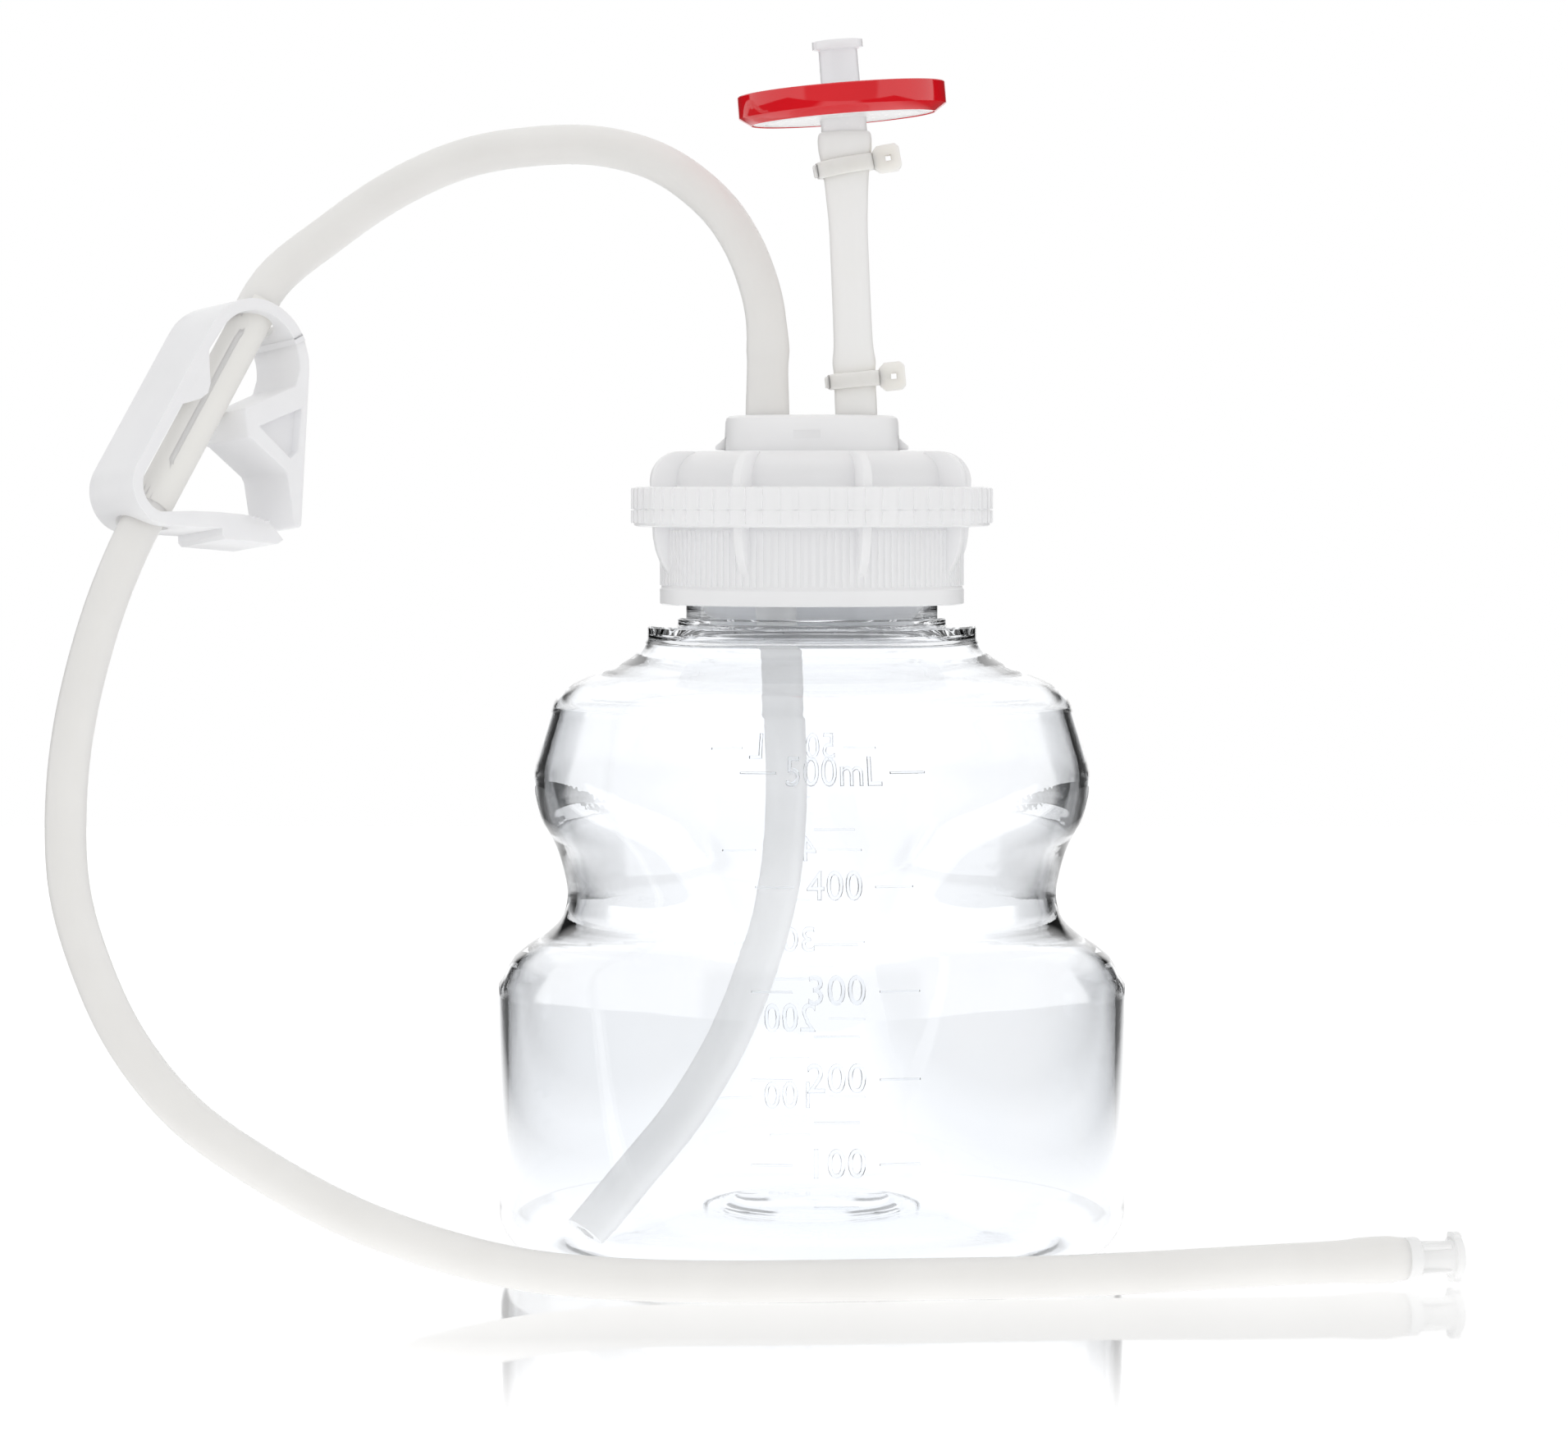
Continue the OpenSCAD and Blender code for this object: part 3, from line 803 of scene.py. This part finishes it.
def neck_seal():
    """The flat ring between the insert and the bottle's rim."""
    low = RIM_Z + 0.02
    outline = [(14.5, low), (19.4, low), (19.4, 122.05), (14.5, 122.05), (14.5, low)]
    return eased(turned("seal_ring", outline, 128), 0.2)


finished(neck_seal(), "head", "seal", FINISH["seal"], "neck_seal")

# ---------------------------------------------------------------- vent hose and its ties

FILTER_FRAME = at(*FILTER_AT) @ Matrix.Rotation(math.radians(-FILTER_LEAN), 4, "Y")
VENT_LOW = Vector((PORT_X, 0, INSERT_TOP))
VENT_HIGH = FILTER_FRAME @ (Vector((0, 0, -FILTER_PORT)) * MM) / MM
VENT_AXIS = VENT_HIGH - VENT_LOW
VENT_FRAME = at(*VENT_LOW) @ Vector((0, 0, 1)).rotation_difference(VENT_AXIS).to_matrix().to_4x4()


def vent_hose():
    """The short hose from the insert to the filter, swollen over the port at each end."""
    whole = VENT_AXIS.length
    outline = [(3.3, 0), (3.32, 1), (3.28, 4.4), (3.28, 6.8), (3.4, 8), (3.36, 9), (3.12, 11), (3.04, 15),
               (3.02, 24), (3.06, 30), (3.22, 33), (3.42, 36), (3.62, 38), (3.8, 39.6), (4.12, 41.2),
               (4.25, 42.6), (4.22, whole - 0.9), (4.0, whole - 0.25), (3.5, whole)]
    skin = [tuple(p) for p in curved(outline, 3)]
    obj = turned("vent_hose_tube", [(0, 0)] + skin + [(0, whole)], 56)
    return put(obj, VENT_FRAME)


finished(vent_hose(), "head", "vent_hose", FINISH["vent_hose"], "vent_hose")


def tie(name, along, radius, strap, head, lean):
    """A cable tie: a strap round the hose, a chamfered head with its slot, and a lip on the far side."""
    half = strap / 2
    band = [(radius, -half), (radius + 1.0, -half), (radius + 1.0, half), (radius, half), (radius, -half)]
    ring = eased(turned("strap", band, 64), 0.25)
    wide, deep, tall = head
    x0 = radius + 0.6
    slope = 0.9
    outline = [(x0, -tall / 2 + slope), (x0 + slope, -tall / 2), (x0 + wide - slope * 0.7, -tall / 2),
               (x0 + wide, -tall / 2 + slope * 0.7), (x0 + wide, tall / 2 - slope * 0.7),
               (x0 + wide - slope * 0.7, tall / 2), (x0 + slope, tall / 2), (x0, tall / 2 - slope)]
    lock = eased(plate("lock", outline, deep), 0.22)
    middle = x0 + wide * 0.56
    lock = cut(lock, block("slot", (middle - 0.45, -deep, -0.45), (middle + 0.45, deep, 0.45)))
    lip = eased(block("lip", (-radius - 1.45, -1.6, -half * 0.75), (-radius - 0.4, 1.6, half * 0.75)), 0.25)
    obj = joined(name, ring, lock, lip)
    return put(obj, VENT_FRAME @ at(0, 0, along) @ Matrix.Rotation(math.radians(lean), 4, "Y"))


low_tie = tie("lower_cable_tie", along=5.6, radius=3.28, strap=2.4, head=(4.1, 3.6, 4.5), lean=-3)
high_tie = tie("upper_cable_tie", along=39.2, radius=3.72, strap=2.6, head=(4.4, 3.8, 4.3), lean=-8)
finished(low_tie, "head", "nylon", FINISH["nylon"], "lower_tie")
finished(high_tie, "head", "nylon", FINISH["nylon"], "upper_tie")

# ---------------------------------------------------------------- vent filter

FILTER_BOTTOM = [
    (0, -16.6), (1.6, -16.6), (2.2, -16.4), (2.75, -12.4), (2.3, -12.1), (2.3, -5.2), (3.6, -5.1),
    (3.6, -3.6), (3.7, -2.75), (4.2, -2.6), (12.3, -2.6), (12.5, -2.75), (12.75, -2.6), (14.2, -2.6),
    (14.4, -2.4), (14.4, -0.5), (14.2, -0.3), (0, -0.3), (0, -2.45)]
FILTER_TOP = [
    (0, -0.25), (15.0, -0.25), (15.4, 0), (15.4, 1.2), (15.1, 1.5), (13.2, 1.5), (13.0, 1.35), (12.7, 1.5),
    (3.6, 1.5), (3.25, 1.8), (3.1, 2.4), (3.05, 8.0), (3.65, 8.25), (3.7, 8.5), (3.7, 9.3), (3.55, 9.6),
    (2.35, 9.6), (2.2, 9.4), (2.05, 2.0), (1.2, 1.6), (0, 1.6)]
FILTER_RING = [
    (14.45, -2.75), (14.6, -2.75), (16.34, -1.6), (16.4, -1.5), (16.4, 1.75), (16.3, 1.9), (16.1, 1.95),
    (14.9, 1.95), (14.6, 1.85), (14.5, 1.55), (15.42, 1.52), (15.42, -0.3), (14.45, -0.3), (14.45, -2.75)]


def filter_lugs():
    """The two ears of the locking hub on top of the filter."""
    lug = turned("lug", [(3.4, 8.2), (4.0, 8.3), (4.0, 9.5), (3.4, 9.6), (3.4, 8.2)], 96)
    return cut(lug, block("gap", (-9, -9, 8), (9, -1.6, 10)), block("gap", (-9, 1.6, 8), (9, 9, 10)))


def filter_unit():
    """The vent filter's pieces, drawn level and then leant with the hose."""
    lower = turned("filter_lower_shell", FILTER_BOTTOM, 128)
    upper = merged(turned("filter_upper_shell", FILTER_TOP, 128), filter_lugs())
    band = turned("filter_band", FILTER_RING, 160)
    finished(put(lower, FILTER_FRAME), "head", "filter_shell", FINISH["filter_white"], "filter_bottom")
    finished(put(upper, FILTER_FRAME), "head", "filter_shell", FINISH["filter"], "filter_top")
    finished(put(band, FILTER_FRAME), "head", "red_band", FINISH["red"], "filter_ring")


filter_unit()

# ---------------------------------------------------------------- hose end

LUER_OUTLINE = [
    (0, -8), (1.5, -8), (2.1, -7.4), (2.3, -5), (2.0, -4.6), (2.0, 0), (3.0, 0), (3.25, 0.2), (3.3, 0.5),
    (3.3, 1.8), (3.15, 2.1), (2.6, 2.2), (2.4, 2.5), (2.36, 3.2), (2.45, 5.4), (2.6, 7.2), (2.75, 7.5),
    (3.3, 7.6), (3.45, 7.8), (3.45, 8.6), (3.3, 8.8), (2.3, 8.8), (2.15, 8.6), (2.0, 1.3), (1.2, 1.1),
    (0, 1.1)]
LUER_FIN = [(2.2, 2.2), (3.1, 2.2), (2.95, 6.9), (2.2, 7.4)]
LUER_FINS = 4


def hose_luer():
    """The fitting on the hose's end: barb, collar, ribbed hub and a flange with two ears."""
    hub = turned("hose_end_luer", LUER_OUTLINE, 72)
    ear = turned("ear", [(3.1, 7.5), (3.9, 7.6), (3.9, 8.7), (3.1, 8.8), (3.1, 7.5)], 72)
    parts = [cut(ear, block("gap", (-9, -9, 7), (9, -1.5, 9)), block("gap", (-9, 1.5, 7), (9, 9, 9)))]
    for i in range(LUER_FINS):
        fin = eased(plate("fin", LUER_FIN, 0.7), 0.12)
        parts.append(put(fin, spun(45 + 360 / LUER_FINS * i)))
    obj = merged(hub, joined("luer_parts", *parts))
    return put(obj, at(*HOSE_END) @ spun(HOSE_END_TURN) @ Matrix.Rotation(math.pi / 2, 4, "Y"))


luer = finished(hose_luer(), "head", "luer_pp", FINISH["luer"], "hose_luer")

# ---------------------------------------------------------------- pinch clamp

ARCH_AT = (1.5, 10.4)
ARCH_OUT = 10.1
ARCH_IN = 8.2
HEEL_AT = (-2.5, -16.8)
HEEL_OUT = 6.1
HEEL_IN = 4.2
LOOP_OUTSIDE = (arc(ARCH_AT, ARCH_OUT, 61.6, 180, 22) + arc(HEEL_AT, HEEL_OUT, 180, 303, 18)
                + [(9.6, -16.2), (10.2, -17.1), (11, -17.3), (19.6, -12), (20.1, -10.9)])
LOOP_INSIDE = ([(17.6, -10.3), (15.6, -10.5), (11.9, -11.9), (7.8, -14.4), (3.8, -17.1)]
               + arc(HEEL_AT, HEEL_IN, 290, 180, 14)
               + [(-6.6, -4), (-5.4, -2.6), (-4.2, -1.1), (-3.6, 0.4), (-4, 2), (-5.4, 4), (-7, 6.4)]
               + arc(ARCH_AT, ARCH_IN, 180, 61.6, 20))
LEVER = ([(21.9, -6.9), (21.6, -7.5), (21, -7.6), (20.4, -7.1), (15.6, -1.7), (14.6, -1.1), (7, -0.7),
          (6.2, -0.9), (3.5, 2.3), (3.5, 2.8), (9.4, 11.6)] + arc(ARCH_AT, ARCH_IN, 26.7, 58.4, 7)
         + arc(ARCH_AT, ARCH_OUT, 58.4, 26.7, 7))
LEVER_POCKET = [(12.2, 9.2), (15.2, 2.9), (14.6, 1.1), (7.2, 1.9)]
LEVER_WEB = 8.0
HINGE_OUT = ARCH_OUT + 0.04
HINGE_IN = ARCH_IN - 0.06
TEETH = 5
TOOTH_FIRST = (12.2, -12.05)
TOOTH_STEP = (0.9, 0.36)


def clamp_loop():
    """The clamp's loop: a bent strip with two holes for the hose, an anvil and a row of catch teeth."""
    obj = plate("clamp_loop", LOOP_OUTSIDE + LOOP_INSIDE, CLAMP_W)
    teeth = []
    for i in range(TEETH):
        x = TOOTH_FIRST[0] + TOOTH_STEP[0] * i
        z = TOOTH_FIRST[1] + TOOTH_STEP[1] * i
        teeth.append(plate("tooth", [(x, z - 0.4), (x + 0.9, z - 0.1), (x + 0.85, z + 1.0)], CLAMP_W - 0.8))
    for low, high in ((14, 24), (-26, -11)):
        obj = cut(obj, rod("hose_hole", CLAMP_HOLE_R, low, high, 64))
    obj = joined("clamp_loop", eased(obj, 0.35, 3, 40), *teeth)
    return put(obj, CLAMP_FRAME)


def clamp_lever():
    """The lever that presses the hose on the anvil, with a pocket in each side and a web between them."""
    obj = plate("clamp_press", LEVER, CLAMP_W)
    for side in (-1, 1):
        pocket = put(plate("pocket", LEVER_POCKET, CLAMP_W), at(0, side * (CLAMP_W + LEVER_WEB) / 2, 0))
        obj = cut(obj, pocket)
    return put(eased(obj, 0.3, 3, 40), CLAMP_FRAME)


loop = finished(clamp_loop(), "clamp", "clamp", FINISH["clamp"], "clamp_frame")
lever = finished(clamp_lever(), "lever", "clamp", FINISH["clamp"], "clamp_lever")


def living_hinge():
    """The thin web that joins the lever to the loop."""
    strip = arc(ARCH_AT, HINGE_OUT, 56.5, 63.5, 10) + arc(ARCH_AT, HINGE_IN, 63.5, 56.5, 10)
    return put(plate("clamp_hinge", strip, CLAMP_W), CLAMP_FRAME)


def on_arch(degrees):
    """A point in the middle of the arch's band, in metres."""
    x, z = arc(ARCH_AT, (ARCH_OUT + ARCH_IN) / 2, degrees, degrees, 1)[0]
    return tuple(CLAMP_FRAME @ (Vector((x, 0, z)) * MM))


hinge = finished(living_hinge(), None, "clamp", FINISH["hinge"])
on_arch(61.4)
on_arch(58.6)
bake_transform(hinge)

# ---------------------------------------------------------------- the hose inside the clamp

SLEEVE_R = HOSE_R + 0.03
SLEEVE_LOW = -18.5
SLEEVE_HIGH = 21.5
PINCH_MIDDLE = 1.5
PINCH_REACH = 10.0
SLICES = 16


def sleeve(name, low, high):
    """A short open length of hose about the clamp's own axis."""
    obj = turned(name, [(SLEEVE_R, low), (SLEEVE_R, high)], 40)
    return put(obj, CLAMP_FRAME)


def hose_in_clamp():
    """The hose that the clamp can reach: whole at its ends, and in round slices over the stretch that the
    clamp pinches.
    """
    pieces = []
    low = PINCH_MIDDLE - PINCH_REACH
    high = PINCH_MIDDLE + PINCH_REACH
    # The sleeves and slices take the hose silicone painted lighter, which lifts the shade inside the clamp.
    for name, start, end in (("hose_sleeve_low", SLEEVE_LOW, low), ("hose_sleeve_high", high, SLEEVE_HIGH)):
        pieces.append(finished(sleeve(name, start, end), "clamp", "hose", FINISH["hose_painted_lighter_in_clamp"]))
    step = (high - low) / SLICES
    for i in range(SLICES):
        start = low + step * i
        piece = sleeve(f"hose_slice_{i + 1:02d}", start, start + step)
        finished(piece, "clamp", "hose", FINISH["hose_painted_lighter_in_clamp"])
        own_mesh(piece)
        pieces.append(piece)
    return pieces


sleeves = hose_in_clamp()
[tuple(p * MM) for p in hose_path]

# ---------------------------------------------------------------- hidden CAD pieces

for node in ("filter_membrane", "membrane_support"):
    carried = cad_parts[node]
    carried.data.materials.clear()
    carried.data.materials.append(FINISH["membrane"])

# ---------------------------------------------------------------- floor and light

BACK_LIGHT = 1.1
SOFT_LIGHT = 0.80
GLASS_BOUNCES = 28
SOFT_BOUNCES = 10
FLOOR_SIZE = 1.6
FLOOR_AT = (0, 0.35, -0.00005)
FLOOR_GLOW = 0.27
FRONT_GLOW = FLOOR_GLOW + 0.6
# Where the floor's glow falls from its front value, in metres from the floor's middle.
FADE = (-0.52, -0.44)
# Where the floor that shows in the plastic falls from lit to dim, in metres to either side.
STRIP = (0.12, 0.20)
STRIP_DIM = 0.1
# How bright the room looks in the plastic, from straight behind the object round to straight ahead of it:
# a white backdrop, a dark gap, a broad white card on each side and a dimmer front.
ROOM = [(0.0, 1.0), (0.072, 1.0), (0.095, 0.03), (0.31, 0.02), (0.33, 1.0), (0.76, 1.0),
        (0.785, 0.4), (1.0, 0.4)]
CEILING = 0.92
CEILING_RISE = (0.16, 0.32)
SOFTBOX_AT = (0, -0.1, 1.0)
SOFTBOX_SIZE = 0.8
SOFTBOX_POWER = 0.5


def ranged(nodes, *values):
    """A Map Range node with its From Min, From Max, To Min and To Max, or only the first of them."""
    node = nodes.new("ShaderNodeMapRange")
    for socket, value in zip(("From Min", "From Max", "To Min", "To Max"), values):
        node.inputs[socket].default_value = value
    return node


def maths(nodes, operation):
    """A Math node with its operation."""
    node = nodes.new("ShaderNodeMath")
    node.operation = operation
    return node


def floor():
    """A wide pale floor: it mirrors the object, and looks dim at the sides in the clear plastic."""
    bpy.ops.object.select_all(action="DESELECT")
    bpy.ops.mesh.primitive_plane_add(size=FLOOR_SIZE, location=FLOOR_AT)
    obj = bpy.context.object
    obj.name = "floor"
    material = FINISH["floor"]
    obj.data.materials.append(material)
    nodes, link = material.node_tree.nodes, material.node_tree.links.new
    shader = nodes["Principled BSDF"]
    shader.inputs["Emission Color"].default_value = (1, 1, 1, 1)
    coords = nodes.new("ShaderNodeTexCoord")
    parts = nodes.new("ShaderNodeSeparateXYZ")
    link(coords.outputs["Object"], parts.inputs["Vector"])
    fade = ranged(nodes, *FADE, FRONT_GLOW, FLOOR_GLOW)
    link(parts.outputs["Y"], fade.inputs["Value"])
    link(fade.outputs["Result"], shader.inputs["Emission Strength"])
    beyond = nodes.new("ShaderNodeEmission")
    path = nodes.new("ShaderNodeLightPath")
    aside = maths(nodes, "ABSOLUTE")
    link(parts.outputs["X"], aside.inputs[0])
    strip = ranged(nodes, *STRIP, BACK_LIGHT, STRIP_DIM)
    link(aside.outputs["Value"], strip.inputs["Value"])
    brightest = maths(nodes, "MAXIMUM")
    link(strip.outputs["Result"], brightest.inputs[0])
    link(path.outputs["Is Diffuse Ray"], brightest.inputs[1])
    link(brightest.outputs["Value"], beyond.inputs["Strength"])
    mix = nodes.new("ShaderNodeMixShader")
    link(path.outputs["Is Camera Ray"], mix.inputs["Fac"])
    link(beyond.outputs["Emission"], mix.inputs[1])
    link(shader.outputs["BSDF"], mix.inputs[2])
    link(mix.outputs["Shader"], nodes["Material Output"].inputs["Surface"])


def room_light(nodes, link):
    """The room's brightness in each direction, as the glossy and clear surfaces see it."""
    coords = nodes.new("ShaderNodeTexCoord")
    parts = nodes.new("ShaderNodeSeparateXYZ")
    link(coords.outputs["Generated"], parts.inputs["Vector"])
    heading = maths(nodes, "ARCTAN2")
    link(parts.outputs["X"], heading.inputs[0])
    link(parts.outputs["Y"], heading.inputs[1])
    either_side = maths(nodes, "ABSOLUTE")
    link(heading.outputs["Value"], either_side.inputs[0])
    share = ranged(nodes, 0, math.pi)
    link(either_side.outputs["Value"], share.inputs["Value"])
    ramp = nodes.new("ShaderNodeValToRGB")
    steps = ramp.color_ramp
    while len(steps.elements) < len(ROOM):
        steps.elements.new(0.5)
    for step, (place, light) in zip(steps.elements, ROOM):
        step.position = place
        step.color = (light, light, light, 1)
    link(share.outputs["Result"], ramp.inputs["Fac"])
    up = ranged(nodes, *CEILING_RISE)
    up.interpolation_type = "SMOOTHSTEP"
    link(parts.outputs["Z"], up.inputs["Value"])
    ceiling = nodes.new("ShaderNodeMix")
    ceiling.data_type = "RGBA"
    ceiling.inputs["B"].default_value = (CEILING, CEILING, CEILING, 1)
    link(up.outputs["Result"], ceiling.inputs["Factor"])
    link(ramp.outputs["Color"], ceiling.inputs["A"])
    return ceiling.outputs["Result"]


def studio():
    """A white room with even soft light. Its cards and gaps show only deeper in the clear plastic."""
    scene = bpy.context.scene
    scene.view_settings.view_transform = "Standard"
    scene.cycles.max_bounces = GLASS_BOUNCES
    scene.cycles.transmission_bounces = GLASS_BOUNCES
    scene.cycles.glossy_bounces = GLASS_BOUNCES
    scene.cycles.diffuse_bounces = SOFT_BOUNCES
    world = bpy.data.worlds.new("studio")
    scene.world = world
    world.use_nodes = True
    nodes, link = world.node_tree.nodes, world.node_tree.links.new
    room = nodes["Background"]
    room.inputs["Strength"].default_value = BACK_LIGHT
    link(room_light(nodes, link), room.inputs["Color"])
    seen = nodes.new("ShaderNodeBackground")
    seen.inputs["Color"].default_value = (1, 1, 1, 1)
    soft = nodes.new("ShaderNodeBackground")
    soft.inputs["Color"].default_value = (1, 1, 1, 1)
    soft.inputs["Strength"].default_value = SOFT_LIGHT
    path = nodes.new("ShaderNodeLightPath")
    last = room.outputs["Background"]
    early = maths(nodes, "LESS_THAN")
    early.inputs[1].default_value = 1.5
    link(path.outputs["Ray Depth"], early.inputs[0])
    for when, light in ((early.outputs["Value"], seen), (path.outputs["Is Diffuse Ray"], soft)):
        mix = nodes.new("ShaderNodeMixShader")
        link(when, mix.inputs["Fac"])
        link(last, mix.inputs[1])
        link(light.outputs["Background"], mix.inputs[2])
        last = mix.outputs["Shader"]
    link(last, nodes["World Output"].inputs["Surface"])
    data = bpy.data.lights.new("top_softbox", "AREA")
    data.shape = "RECTANGLE"
    data.size = SOFTBOX_SIZE
    data.size_y = SOFTBOX_SIZE
    data.energy = SOFTBOX_POWER
    lamp = bpy.data.objects.new("top_softbox", data)
    lamp.location = SOFTBOX_AT
    bpy.context.collection.objects.link(lamp)


floor()
studio()
